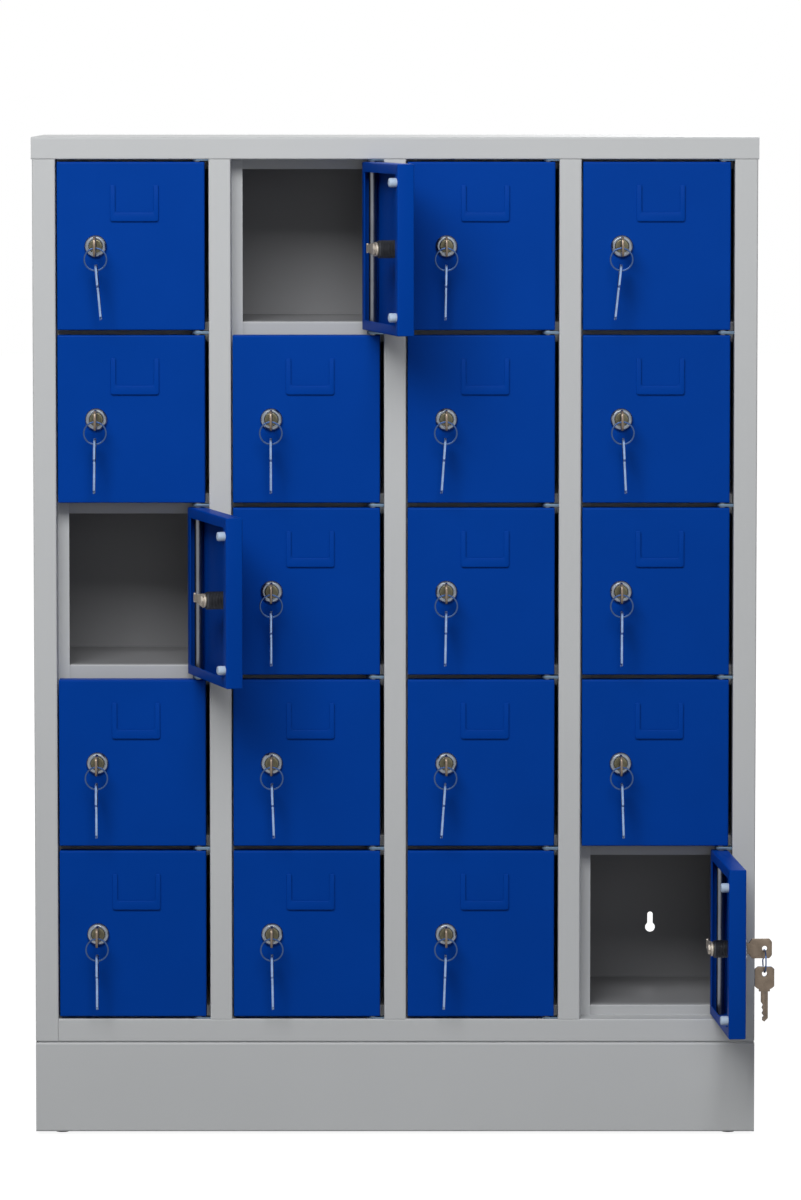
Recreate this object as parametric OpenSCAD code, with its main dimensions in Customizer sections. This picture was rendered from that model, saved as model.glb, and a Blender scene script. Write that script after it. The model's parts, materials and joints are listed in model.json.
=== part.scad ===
// Free-standing steel locker for mobile phones: four columns of five small hinged doors.
// Millimetres. X to the right, Y to the back, Z up. Origin on the floor, mid footprint.

/* [Cabinet] */
// Columns of compartments
columns = 4; // [2:1:6]
// Rows of compartments
rows = 5; // [2:1:8]
// Clear width of one door opening
opening_w = 152; // [130:1:240]
// Height of one row, from gap centre to gap centre
row_pitch = 172; // [160:1:300]
// Width of the middle uprights of the front frame
stile_w = 22; // [18:1:50]
// Width of the two corner uprights
corner_stile_w = 23; // [18:1:50]
// Height of the top rail, which is the front skirt of the lid
top_rail_h = 22; // [18:1:60]
// Height of the bottom rail of the front frame
bottom_rail_h = 22; // [16:1:60]
// Depth of the cabinet, front face to back face
body_d = 200; // [160:1:450]
// Thickness of the body sheet
sheet_t = 1.0; // [0.8:0.1:1.4]
// Inner radius of the sheet bends
bend_r = 0.5; // [0.4:0.1:1.5]

/* [Inside] */
// How far the door stops lie behind the front face
stop_recess = 25; // [24:1:40]
// Width of the stop strip that the cam hooks behind
stop_w = 11; // [10:1:16]
// Height of the shelf front flange
shelf_flange_h = 20; // [14:1:30]
// Height of a compartment floor above the centre of the gap below it
shelf_rise = 10; // [6:1:13]

/* [Doors] */
// Depth of the door pan
door_t = 17; // [15:0.5:18]
// Thickness of the door sheet
door_sheet_t = 1.0; // [0.8:0.1:1.4]
// Width of the returned lips round the back of the door
door_lip = 10; // [9:0.5:14]
// Gap between the lock edge of a door and its upright
lock_gap = 1.5; // [1:0.1:3]
// Gap between one door and the door above it
row_gap = 5; // [4.5:0.1:8]
// Distance of the pivot from the hinge edge of the door
pivot_in = 7; // [6:0.5:9]
// Distance of the pivot behind the front face
pivot_back = 7.5; // [6.5:0.5:9]
// Room between the turning edge of the door and the upright
swing_clear = 0.74; // [0.5:0.01:1.5]
// Opening angle of the door in row 1, column 2
open_r1c2 = 104; // [0:1:110]
// Opening angle of the door in row 3, column 1
open_r3c1 = 107; // [0:1:110]
// Opening angle of the door in row 5, column 4
open_r5c4 = 94; // [0:1:110]

/* [Hinges] */
// Diameter of the hinge rod of a column
rod_d = 8; // [6:0.5:9]
// Radial play of the doors on the rod
rod_play = 0.075; // [0.05:0.005:0.1]
// Radial play of the rod in the hinge tabs
tab_play = 0.05; // [0.05:0.005:0.1]
// Thickness of a hinge tab
tab_t = 3; // [2:0.1:3.2]
// How far a hinge tab reaches past the pivot
tab_end = 6; // [5.5:0.5:7]

/* [Bumpers] */
// Diameter of a door bumper
bumper_d = 9; // [7:0.5:9.5]
// Chamfer of a bumper's end
bumper_edge = 1.5; // [0.5:0.1:2]
// Gap left between a bumper and the stop strip
bumper_gap = 0.3; // [0.2:0.1:1]
// Distance of a bumper centre from the top or bottom of the door
bumper_inset = 18; // [14:1:40]

/* [Card holder] */
// Width of the card holder
card_w = 48; // [40:1:60]
// Height of the card holder
card_h = 36; // [26:1:40]
// Distance of the card holder from the lock edge of the door
card_x = 53; // [50:1:60]
// Distance of the card holder from the top of the door
card_top = 23; // [12:1:28]
// How far the card holder stands off the door
card_proud = 2; // [1.8:0.1:3]
// Thickness of the card holder's lip
card_lip_t = 0.8; // [0.6:0.1:1]
// Width of the card holder's side bars
card_side = 5; // [4:0.5:7]
// Height of the card holder's bottom bar
card_bottom = 9; // [6:0.5:12]

/* [Lock] */
// Distance of the lock axis from the lock edge of the door
lock_x = 38.5; // [36:0.5:44]
// Diameter of the lock head
head_d = 22; // [20:0.5:24]
// Height of the lock head
head_h = 5; // [3:0.5:5]
// Chamfer of the lock head's rim
head_chamfer = 2; // [0.5:0.1:2.5]
// Diameter of the lock barrel
barrel_d = 18; // [16:0.5:19]
// Width of the lock nut across its flats
nut_af = 24; // [22:0.5:27]
// Thickness of the lock nut
nut_t = 4; // [3:0.5:6]
// Diameter of the turning plug
plug_d = 13; // [11:0.5:14]
// Radial play of the plug in the barrel
plug_play = 0.05; // [0.05:0.005:0.1]
// Diameter of the tail of the plug, which carries the cam
tail_d = 8; // [6:0.5:9]
// Thickness of the cam
cam_t = 2; // [1.5:0.1:3]
// Width of the cam
cam_w = 14; // [12:0.5:16]
// Cut-off corners of the cam's end
cam_corner = 3.5; // [1:0.5:5]
// Gap between the stop strip and the cam behind it
cam_clear = 2; // [1:0.1:3]
// Gap between the end of the barrel and the cam
barrel_gap = 0.5; // [0.3:0.1:1]
// How far the locked cam hooks behind the stop strip
cam_hook = 7.5; // [4:0.5:8]
// Diameter of the cam screw's head
screw_d = 9.5; // [9.5:0.5:11]
// Height of the cam screw's head
screw_h = 3; // [2:0.5:5]

/* [Keys] */
// Thickness of a key
key_t = 2.2; // [1.8:0.1:2.6]
// Height of the key blade
blade_h = 7; // [5.5:0.5:8]
// Length of the key blade
blade_l = 30; // [24:0.5:31]
// Play between the blade and its keyway
key_play = 0.15; // [0.1:0.05:0.3]
// Gap between the lock head and the shoulder of the key in it
shoulder_gap = 0.5; // [0.3:0.1:1]
// Length of the neck between blade and bow
neck_l = 2.5; // [1.5:0.5:3]
// Height of that neck
neck_h = 11; // [9:0.5:13]
// Length of the key bow
bow_l = 22.5; // [19:0.5:23]
// Height of the key bow
bow_h = 19.5; // [17:0.5:20]
// Radius that rounds off the corners of the bow
bow_round_r = 12.9; // [12.5:0.1:15]
// Distance of the hole from the end of the bow
bow_hole_in = 7.3; // [5.5:0.1:9]
// Diameter of the hole in the bow
bow_hole_d = 5.2; // [4.5:0.1:5.6]
// Mean radius of the key ring
ring_r = 11; // [10.5:0.5:13]
// Diameter of the key ring's wire
wire_d = 1.8; // [1.6:0.1:2.4]
// Play between the ring and the holes it hangs in
ring_play = 0.2; // [0.1:0.05:0.3]

/* [Fits] */
// Gap left between two pieces of one door or lock that lie against each other
seat_gap = 0.05; // [0.02:0.01:0.1]
// Play of a nut, and of what is clamped by one, on its thread
thread_play = 0.05; // [0.05:0.01:0.1]

/* [Plinth] */
// Height of the plinth
plinth_h = 92; // [60:1:150]
// Thickness of the plinth sheet
plinth_t = 1.5; // [1:0.1:2]
// Thickness of the frame between plinth and cabinet
plinth_frame_t = 2; // [1.5:0.1:3]
// How far that frame lies back from the faces
plinth_frame_in = 2; // [1:0.5:4]
// Width of that frame's members
plinth_frame_w = 42; // [36:1:60]
// Depth of the plinth's bottom flanges
plinth_foot_flange = 40; // [36:1:50]
// Depth of the plinth's top flanges
plinth_top_flange = 30; // [28:1:36]
// Distance of a foot from the end of the plinth
foot_in_x = 25; // [18:1:60]
// Distance of a foot from the front or back of the plinth
foot_in_y = 25; // [14:1:28]
// Diameter of a foot's pad
foot_d = 16; // [14:1:26]
// Height of a foot's pad
foot_h = 4; // [3:0.5:12]
// Diameter of a foot's stud
stud_d = 8; // [6:0.5:10]
// Length of a foot's stud
stud_l = 24; // [18:1:40]
// Width across flats of a foot's nut
foot_nut_af = 13; // [13:0.5:17]
// Thickness of a foot's nut
foot_nut_t = 6.5; // [4:0.5:8]
// Distance of a cabinet bolt from the end of the plinth
bolt_in_x = 60; // [45:1:90]
// Distance of a cabinet bolt from the front or back
bolt_in_y = 20; // [14:1:22]
// Diameter of a cabinet bolt
bolt_d = 6; // [5:0.5:8]
// Play of studs and bolts in their holes
bolt_play = 0.2; // [0.1:0.05:0.5]
// Width across flats of a cabinet bolt's head and nut
bolt_af = 10; // [10:0.5:13]
// Height of a cabinet bolt's head
bolt_head_t = 4; // [3:0.5:6]
// Thickness of a cabinet bolt's nut
bolt_nut_t = 5; // [4:0.5:7]
// Length of a bolt below its nut
bolt_end = 1; // [0.5:0.5:4]

/* [Wall fixing] */
// Diameter of the round entry of a keyhole
keyhole_d = 10; // [9:0.5:16]
// Width of the slot of a keyhole
keyhole_slot = 5.5; // [5:0.5:8]
// Height of the slot's centre above the entry's centre
keyhole_rise = 13.25; // [9:0.25:18]
// Height of a keyhole's entry above the bottom of its row
keyhole_z = 62; // [30:1:120]
// Distance of a keyhole from the middle of its column, outwards
keyhole_out = 3; // [-20:1:20]

/* [Hidden] */
$fn = 48;
body_steel = [0.77, 0.78, 0.79];
zinc = [0.72, 0.73, 0.74];
door_blue = [0.02, 0.22, 0.60];
chrome = [0.80, 0.80, 0.78];
brass = [0.72, 0.66, 0.50];
white_rubber = [0.93, 0.93, 0.92];
black_plastic = [0.08, 0.08, 0.09];

// How far a cut reaches past what it cuts
cut_over = 1;

column_pitch = opening_w + stile_w;
body_w = columns * column_pitch - stile_w + 2 * corner_stile_w;
half_w = body_w / 2;
front_y = -body_d / 2;
back_y = body_d / 2;
plinth_z = foot_h;
base_z = plinth_z + plinth_h;
sill_z = base_z + bottom_rail_h;
head_z = sill_z + rows * row_pitch;
top_z = head_z + top_rail_h;

stop_y = front_y + stop_recess;
shelf_y = stop_y + sheet_t;
floor_z = sill_z + shelf_rise;

pivot_to_stile = norm([pivot_in, pivot_back]) + swing_clear;
hinge_gap = pivot_to_stile - pivot_in;
door_w = opening_w - lock_gap - hinge_gap;
door_h = row_pitch - row_gap;
free_x = pivot_in - door_w;
pivot_y = front_y + pivot_back;

lock_axis_x = free_x + lock_x;
cam_v = stop_recess + sheet_t + cam_clear;
cam_l = lock_x + lock_gap - stop_w + cam_hook;
key_in = blade_l - shoulder_gap;

// Doors whose keys have been taken out
keys_out = ["r1c2", "r3c1"];
// Angle at which each spare key hangs, row by row from the top, in degrees
key_tilt = [
    [5, 0, -1, -6],
    [-1, 0, -4, 3],
    [0, 0, -1, 0],
    [0, 2, -4, 2],
    [0, 1, -2, 0]
];

row_col = [for (r = [1:rows], c = [1:columns]) str("r", r, "c", c)];
fixed_nodes = [
    "lid", "left_side_panel", "right_side_panel", "back_panel", "base_plate",
    "bottom_rail", "floor_panel", "mid_posts", "partitions", "shelves",
    "hinge_rods", "hinge_tabs", "plinth_front", "plinth_rear", "plinth_ends",
    "plinth_frame", "levelling_feet", "foot_nuts", "cabinet_bolts", "cabinet_nuts"
];

// Where the columns and rows lie
function column_x(c) = -half_w + corner_stile_w + opening_w / 2 + (c - 1) * column_pitch;
function row_z(r) = head_z - (r - 0.5) * row_pitch;
function gap_z(g) = head_z - g * row_pitch;
function pivot_x(c) = column_x(c) + opening_w / 2 - pivot_to_stile;
function open_angle(r, c) =
    r == 1 && c == 2 ? open_r1c2 : r == 3 && c == 1 ? open_r3c1 : r == 5 && c == 4 ? open_r5c4 : 0;
function tilt_of(r, c) = r <= len(key_tilt) && c <= len(key_tilt[0]) ? key_tilt[r - 1][c - 1] : 0;
function has_keys(r, c) = len([for (name = keys_out) if (name == str("r", r, "c", c)) name]) == 0;
mid_post_xs = [for (c = [1:columns - 1]) column_x(c) + column_pitch / 2];

// Outline of a bent sheet whose mid line runs through the points of path
function heading(a, b) = atan2(b.y - a.y, b.x - a.x);
function side(angle) = [-sin(angle), cos(angle)];
function turned(a) = a > 180 ? a - 360 : a < -180 ? a + 360 : a;
function bend(a, p, b, r, steps = 4) =
    let (h = heading(a, p), turn = turned(heading(p, b) - h), s = sign(turn),
         cut = r * tan(abs(turn) / 2),
         centre = p - cut * [cos(h), sin(h)] + s * r * side(h))
    [for (i = [0:steps]) let (now = h + turn * i / steps) [centre - s * r * side(now), side(now)]];
function mid_line(path, r) =
    let (n = len(path) - 1)
    concat(
        [[path[0], side(heading(path[0], path[1]))]],
        [for (i = [1:1:n - 1]) each bend(path[i - 1], path[i], path[i + 1], r)],
        [[path[n], side(heading(path[n - 1], path[n]))]]
    );
module bent_sheet(path, t) {
    line = mid_line(path, bend_r + t / 2);
    polygon(concat(
        [for (p = line) p[0] + p[1] * t / 2],
        [for (i = [len(line) - 1:-1:0]) line[i][0] - line[i][1] * t / 2]
    ));
}

// Runs a front-to-back outline, drawn as (y, z), along X from x0 to x1
module along_x(x0, x1) {
    translate([x0, 0, 0]) rotate([90, 0, 90]) linear_extrude(x1 - x0) children();
}
module box(x0, x1, y0, y1, z0, z1) {
    translate([x0, y0, z0]) cube([x1 - x0, y1 - y0, z1 - z0]);
}
module hexagon(af) {
    circle(d = af / cos(30), $fn = 6);
}
module at_corners(in_x, in_y) {
    for (sx = [-1, 1], sy = [-1, 1])
        translate([sx * (half_w - in_x), sy * (back_y - in_y), 0]) children();
}

// Top cover: top sheet, front skirt that is the top rail, and side skirts over the panels
module lid() {
    half_t = sheet_t / 2;
    reach = half_w + sheet_t;
    color(body_steel) {
        difference() {
            along_x(-reach, reach) bent_sheet([
                [back_y, top_z - half_t], [front_y + half_t, top_z - half_t],
                [front_y + half_t, head_z + half_t], [shelf_y, head_z + half_t]
            ], sheet_t);
            for (s = [-1, 1]) translate([s * reach, 0, 0])
                box(-2 * sheet_t, 2 * sheet_t, front_y + sheet_t, shelf_y + cut_over,
                    head_z - cut_over, top_z - sheet_t);
        }
        for (s = [-1, 1]) translate([s * (half_w + half_t), 0, 0])
            box(-half_t, half_t, front_y + sheet_t, back_y, head_z, top_z - sheet_t);
    }
}

// Side panel bent round into the front upright; the lock side also carries a stop strip
module side_panel(with_stop) {
    half_t = sheet_t / 2;
    wall_x = -half_w + half_t;
    inner_x = -half_w + corner_stile_w - half_t;
    strip = with_stop ? [[inner_x + half_t + stop_w, stop_y + half_t], [inner_x, stop_y + half_t]]
                      : [[inner_x, shelf_y]];
    path = concat(strip, [
        [inner_x, front_y + half_t], [wall_x, front_y + half_t], [wall_x, back_y - sheet_t]
    ]);
    color(body_steel) {
        difference() {
            translate([0, 0, base_z]) linear_extrude(head_z - base_z) bent_sheet(path, sheet_t);
            // The return stands on the bottom sheet, the stop strip ends above the bottom rail
            box(-half_w + corner_stile_w / 2, -half_w + corner_stile_w + cut_over,
                front_y + sheet_t, shelf_y + cut_over, base_z - cut_over, base_z + sheet_t);
            box(-half_w + corner_stile_w, -half_w + corner_stile_w + stop_w + cut_over,
                front_y + sheet_t, shelf_y + cut_over, base_z - cut_over, sill_z);
        }
        box(-half_w, -half_w + sheet_t, front_y + sheet_t, back_y - sheet_t, head_z, top_z - sheet_t);
    }
}
module left_side_panel() {
    side_panel(true);
}
module right_side_panel() {
    mirror([1, 0, 0]) side_panel(false);
}

// Back panel with four keyholes for hanging screws
module keyhole() {
    circle(d = keyhole_d);
    translate([-keyhole_slot / 2, 0]) square([keyhole_slot, keyhole_rise]);
    translate([0, keyhole_rise]) circle(d = keyhole_slot);
}
module back_panel() {
    color(body_steel) translate([0, back_y, 0]) rotate([90, 0, 0]) linear_extrude(sheet_t)
        difference() {
            translate([-half_w, base_z]) square([body_w, top_z - sheet_t - base_z]);
            for (x = [column_x(1) - keyhole_out, column_x(columns) + keyhole_out], r = [1, rows])
                translate([x, gap_z(r) + keyhole_z]) keyhole();
        }
}

// Bottom sheet of the cabinet, bolted to the plinth, clear of the bends of the side panels
module base_plate() {
    side_x = half_w - sheet_t - bend_r;
    color(body_steel) difference() {
        box(-side_x, side_x, front_y + sheet_t, back_y - sheet_t, base_z, base_z + sheet_t);
        at_corners(bolt_in_x, bolt_in_y) translate([0, 0, base_z - cut_over])
            cylinder(d = bolt_d + 2 * bolt_play, h = sheet_t + 2 * cut_over);
    }
}

// Bottom rail of the front frame
module bottom_rail() {
    half_t = sheet_t / 2;
    color(body_steel) along_x(-half_w + corner_stile_w, half_w - corner_stile_w) bent_sheet([
        [front_y + half_t, base_z], [front_y + half_t, sill_z - half_t],
        [shelf_y + sheet_t, sill_z - half_t]
    ], sheet_t);
}

// Floor of the bottom row, with its front flange
module floor_panel() {
    half_t = sheet_t / 2;
    color(body_steel) along_x(-half_w + sheet_t, half_w - sheet_t) bent_sheet([
        [shelf_y + half_t, sill_z], [shelf_y + half_t, floor_z - half_t],
        [back_y - sheet_t, floor_z - half_t]
    ], sheet_t);
}

// Middle uprights: channels with a stop strip for the doors on their right
module mid_posts() {
    half_t = sheet_t / 2;
    wall = stile_w / 2 - half_t;
    color(body_steel) for (x = mid_post_xs) translate([x, 0, sill_z]) linear_extrude(head_z - sill_z)
        bent_sheet([
            [-wall, shelf_y], [-wall, front_y + half_t], [wall, front_y + half_t],
            [wall, stop_y + half_t], [wall + half_t + stop_w, stop_y + half_t]
        ], sheet_t);
}

// Upright sheets between the columns
module partitions() {
    color(body_steel) for (x = mid_post_xs) along_x(x - sheet_t / 2, x + sheet_t / 2) polygon([
        [front_y + sheet_t, floor_z], [back_y - sheet_t, floor_z], [back_y - sheet_t, top_z - sheet_t],
        [shelf_y, top_z - sheet_t], [shelf_y, head_z], [front_y + sheet_t, head_z]
    ]);
}

// Shelves, bent down at the front; the highest of each column is its ceiling
module shelves() {
    half_t = sheet_t / 2;
    color(body_steel) for (c = [1:columns], g = [0:rows - 1]) {
        left = c == 1 ? -half_w + sheet_t : mid_post_xs[c - 2] + half_t;
        right = c == columns ? half_w - sheet_t : mid_post_xs[c - 1] - half_t;
        top = gap_z(g) + shelf_rise;
        along_x(left, right) bent_sheet([
            [shelf_y + half_t, top - shelf_flange_h], [shelf_y + half_t, top - half_t],
            [back_y - sheet_t, top - half_t]
        ], sheet_t);
    }
}

// One hinge rod a column, from the bottom rail to the lid
module hinge_rods() {
    color(zinc) for (c = [1:columns]) translate([pivot_x(c), pivot_y, sill_z])
        cylinder(d = rod_d, h = head_z - sill_z);
}

// Tabs on the uprights that hold the rods in the gaps between the doors
module hinge_tabs() {
    color(zinc) for (c = [1:columns], g = [0:rows]) {
        low = max(gap_z(g) - tab_t / 2, sill_z);
        high = min(gap_z(g) + tab_t / 2, head_z);
        translate([pivot_x(c), pivot_y, low]) linear_extrude(high - low) difference() {
            union() {
                circle(r = tab_end);
                translate([0, -tab_end]) square([pivot_to_stile, 2 * tab_end]);
            }
            circle(d = rod_d + 2 * tab_play);
        }
    }
}

// Plinth: front and rear channels, end plates, and a set-back frame on top
module plinth_channel() {
    half_t = plinth_t / 2;
    top = base_z - plinth_frame_t;
    end = half_w - plinth_t;
    difference() {
        along_x(-half_w, half_w) bent_sheet([
            [front_y + plinth_foot_flange, plinth_z + half_t], [front_y + half_t, plinth_z + half_t],
            [front_y + half_t, top - half_t], [front_y + plinth_top_flange, top - half_t]
        ], plinth_t);
        for (s = [-1, 1]) translate([s * (half_w + cut_over), 0, 0])
            box(-plinth_t - cut_over, plinth_t + cut_over, front_y + plinth_t, 0,
                plinth_z - cut_over, top + cut_over);
        for (s = [-1, 1]) {
            translate([s * (half_w - foot_in_x), front_y + foot_in_y, plinth_z - cut_over])
                cylinder(d = stud_d + 2 * bolt_play, h = plinth_t + 2 * cut_over);
            translate([s * (half_w - bolt_in_x), front_y + bolt_in_y, top - plinth_t - cut_over])
                cylinder(d = bolt_d + 2 * bolt_play, h = plinth_t + 2 * cut_over);
        }
    }
}
module plinth_front() {
    color(body_steel) plinth_channel();
}
module plinth_rear() {
    color(body_steel) mirror([0, 1, 0]) plinth_channel();
}
module plinth_ends() {
    color(body_steel) for (s = [-1, 1]) translate([s * (half_w - plinth_t / 2), 0, 0])
        box(-plinth_t / 2, plinth_t / 2, front_y + plinth_t, back_y - plinth_t,
            plinth_z, base_z - plinth_frame_t);
}
module plinth_frame() {
    low = base_z - plinth_frame_t;
    outer_x = half_w - plinth_frame_in;
    outer_y = back_y - plinth_frame_in;
    color(body_steel) difference() {
        box(-outer_x, outer_x, -outer_y, outer_y, low, base_z);
        box(-outer_x + plinth_frame_w, outer_x - plinth_frame_w,
            -outer_y + plinth_frame_w, outer_y - plinth_frame_w, low - cut_over, base_z + cut_over);
        at_corners(bolt_in_x, bolt_in_y) translate([0, 0, low - cut_over])
            cylinder(d = bolt_d + 2 * bolt_play, h = plinth_frame_t + 2 * cut_over);
    }
}

// Feet, with their nuts inside the plinth
module levelling_feet() {
    color(black_plastic) at_corners(foot_in_x, foot_in_y) {
        cylinder(d = foot_d, h = foot_h);
        cylinder(d = stud_d, h = foot_h + stud_l);
    }
}
module foot_nuts() {
    color(zinc) at_corners(foot_in_x, foot_in_y) translate([0, 0, plinth_z + plinth_t])
        linear_extrude(foot_nut_t) difference() {
            hexagon(foot_nut_af);
            circle(d = stud_d + 2 * thread_play);
        }
}

// Bolts and nuts that hold the cabinet on its plinth
module cabinet_bolts() {
    low = base_z - plinth_frame_t - plinth_t - bolt_nut_t - bolt_end;
    color(zinc) at_corners(bolt_in_x, bolt_in_y) {
        translate([0, 0, low]) cylinder(d = bolt_d, h = base_z + sheet_t - low);
        translate([0, 0, base_z + sheet_t]) linear_extrude(bolt_head_t) hexagon(bolt_af);
    }
}
module cabinet_nuts() {
    color(zinc) at_corners(bolt_in_x, bolt_in_y)
        translate([0, 0, base_z - plinth_frame_t - plinth_t - bolt_nut_t])
            linear_extrude(bolt_nut_t) difference() {
                hexagon(bolt_af);
                circle(d = bolt_d + 2 * thread_play);
            }
}

// A door's own frame: origin on the pivot at mid height, door shut to the left of it
module on_hinge(r, c) {
    translate([pivot_x(c), pivot_y, row_z(r)]) rotate([0, 0, open_angle(r, c)]) children();
}
// Round pieces on the lock axis: Z points out of the door, from the door's front face
module on_lock_axis() {
    translate([lock_axis_x, -pivot_back, 0]) rotate([90, 0, 0]) children();
}

// Door pan, folded from one sheet, with holes for the rod and the lock
module door_pan() {
    inner = door_sheet_t;
    difference() {
        box(free_x, pivot_in, -pivot_back, door_t - pivot_back, -door_h / 2, door_h / 2);
        box(free_x + inner, pivot_in - inner, inner - pivot_back, door_t - inner - pivot_back,
            -door_h / 2 + inner, door_h / 2 - inner);
        box(free_x + door_lip, pivot_in - door_lip, 0, door_t,
            -door_h / 2 + door_lip, door_h / 2 - door_lip);
        translate([0, 0, -door_h / 2 - cut_over])
            cylinder(d = rod_d + 2 * rod_play, h = door_h + 2 * cut_over);
        on_lock_axis() translate([0, 0, -inner - cut_over])
            cylinder(r = barrel_d / 2 + thread_play, h = inner + 2 * cut_over);
    }
}
// Pressed frame for a name card, open at the top
module card_holder() {
    slot_t = card_proud - card_lip_t;
    rim = card_side / 2;
    translate([free_x + card_x, -pivot_back - seat_gap, door_h / 2 - card_top - card_h])
        rotate([90, 0, 0]) difference() {
            linear_extrude(card_proud) difference() {
                square([card_w, card_h]);
                translate([card_side, card_bottom])
                    square([card_w - 2 * card_side, card_h]);
            }
            translate([rim, rim, -cut_over])
                cube([card_w - 2 * rim, card_h, slot_t + cut_over]);
        }
}
// Chrome head and threaded barrel of the lock, and the nut that clamps them
module lock_housing() {
    on_lock_axis() difference() {
        rotate_extrude() polygon([
            [0, barrel_gap - cam_v], [barrel_d / 2, barrel_gap - cam_v],
            [barrel_d / 2, seat_gap], [head_d / 2, seat_gap], [head_d / 2, head_h - head_chamfer],
            [head_d / 2 - head_chamfer, head_h], [0, head_h]
        ]);
        translate([0, 0, -cam_v]) cylinder(r = plug_d / 2 + plug_play, h = cam_v + head_h + cut_over);
    }
}
module lock_nut() {
    on_lock_axis() translate([0, 0, -door_sheet_t - seat_gap - nut_t]) linear_extrude(nut_t) difference() {
        hexagon(nut_af);
        circle(r = barrel_d / 2 + thread_play);
    }
}
// Round bumpers on the lock-side lip, which meet the stop strip
module bumpers() {
    h = stop_recess - door_t - bumper_gap - seat_gap;
    for (s = [-1, 1])
        translate([free_x + door_lip / 2, door_t - pivot_back + seat_gap, s * (door_h / 2 - bumper_inset)])
            rotate([-90, 0, 0]) rotate_extrude() polygon([
                [0, 0], [bumper_d / 2, 0], [bumper_d / 2, h - bumper_edge],
                [bumper_d / 2 - bumper_edge, h], [0, h]
            ]);
}
module door() {
    color(door_blue) {
        door_pan();
        card_holder();
    }
    color(chrome) lock_housing();
    color(zinc) lock_nut();
    color(white_rubber) bumpers();
}

// Plug with its keyway, turning in the barrel
cam_back = -cam_v - seat_gap - cam_t;
module plug() {
    on_lock_axis() difference() {
        union() {
            translate([0, 0, -cam_v]) cylinder(d = plug_d, h = cam_v + head_h);
            translate([0, 0, cam_back]) cylinder(d = tail_d, h = -cam_back);
        }
        translate([-key_t / 2 - key_play, -blade_h / 2 - key_play, head_h - key_in - key_play])
            cube([key_t + 2 * key_play, blade_h + 2 * key_play, key_in + cut_over]);
    }
}
module cam() {
    on_lock_axis() translate([0, 0, cam_back]) linear_extrude(cam_t) difference() {
        union() {
            circle(d = cam_w);
            polygon([
                [0, -cam_w / 2], [cam_l - cam_corner, -cam_w / 2], [cam_l, cam_corner - cam_w / 2],
                [cam_l, cam_w / 2 - cam_corner], [cam_l - cam_corner, cam_w / 2], [0, cam_w / 2]
            ]);
        }
        circle(d = tail_d + 2 * thread_play);
    }
}
module cam_screw() {
    on_lock_axis() translate([0, 0, cam_back - seat_gap - screw_h])
        linear_extrude(screw_h) hexagon(screw_d);
}
// A key lies along X, tip at the left, with its hole at the origin
bow_hole_x = bow_l - bow_hole_in;
notch = blade_h / 5;
// Place and depth of each corner of the teeth, in notches
teeth = [[1, 1], [3, 1], [4, 2], [6, 0.6], [8, 1.6], [10, 0.6], [12, 1.4], [14, 0]];
module key() {
    rotate([90, 0, 0]) translate([0, 0, -key_t / 2]) linear_extrude(key_t) difference() {
        translate([-bow_hole_x, 0]) union() {
            intersection() {
                translate([0, -bow_h / 2]) square([bow_l, bow_h]);
                translate([bow_l / 2, 0]) circle(r = bow_round_r);
            }
            translate([-neck_l, -neck_h / 2]) square([neck_l + bow_l / 2, neck_h]);
            translate([-neck_l - blade_l, 0]) polygon(concat(
                [[0, 0]], [for (t = teeth) [notch * t[0], -blade_h / 2 + notch * t[1]]],
                [[blade_l + neck_l, -blade_h / 2], [blade_l + neck_l, blade_h / 2],
                 [blade_h / 2, blade_h / 2]]
            ));
        }
        circle(d = bow_hole_d);
    }
}
key_hole_out = head_h + shoulder_gap + neck_l + bow_hole_x;
hang = (bow_hole_d - wire_d) / 2 - ring_play;
module ring_and_spare_key(tilt) {
    translate([lock_axis_x, -pivot_back - key_hole_out, -hang]) rotate([0, -tilt, 0]) {
        translate([0, 0, -ring_r]) rotate([90, 0, 0]) rotate_extrude()
            translate([ring_r, 0]) circle(d = wire_d);
        translate([0, 0, -2 * ring_r - hang]) rotate([0, -90, 0]) rotate([90, 0, 0]) key();
    }
}
module key_in_lock() {
    translate([lock_axis_x, -pivot_back - key_hole_out, 0])
        rotate([0, 0, -90]) key();
}
module lock(with_keys, tilt) {
    color(chrome) plug();
    color(zinc) {
        cam();
        cam_screw();
    }
    if (with_keys) color(brass) {
        key_in_lock();
        ring_and_spare_key(tilt);
    }
}

lid();
left_side_panel();
right_side_panel();
back_panel();
base_plate();
bottom_rail();
floor_panel();
mid_posts();
partitions();
shelves();
hinge_rods();
hinge_tabs();
plinth_front();
plinth_rear();
plinth_ends();
plinth_frame();
levelling_feet();
foot_nuts();
cabinet_bolts();
cabinet_nuts();
for (r = [1:rows], c = [1:columns]) {
    on_hinge(r, c) door();
    on_hinge(r, c) lock(has_keys(r, c), tilt_of(r, c));
}
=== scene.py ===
import json
import math

import bmesh
import bpy
from mathutils import Matrix, Vector


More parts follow.
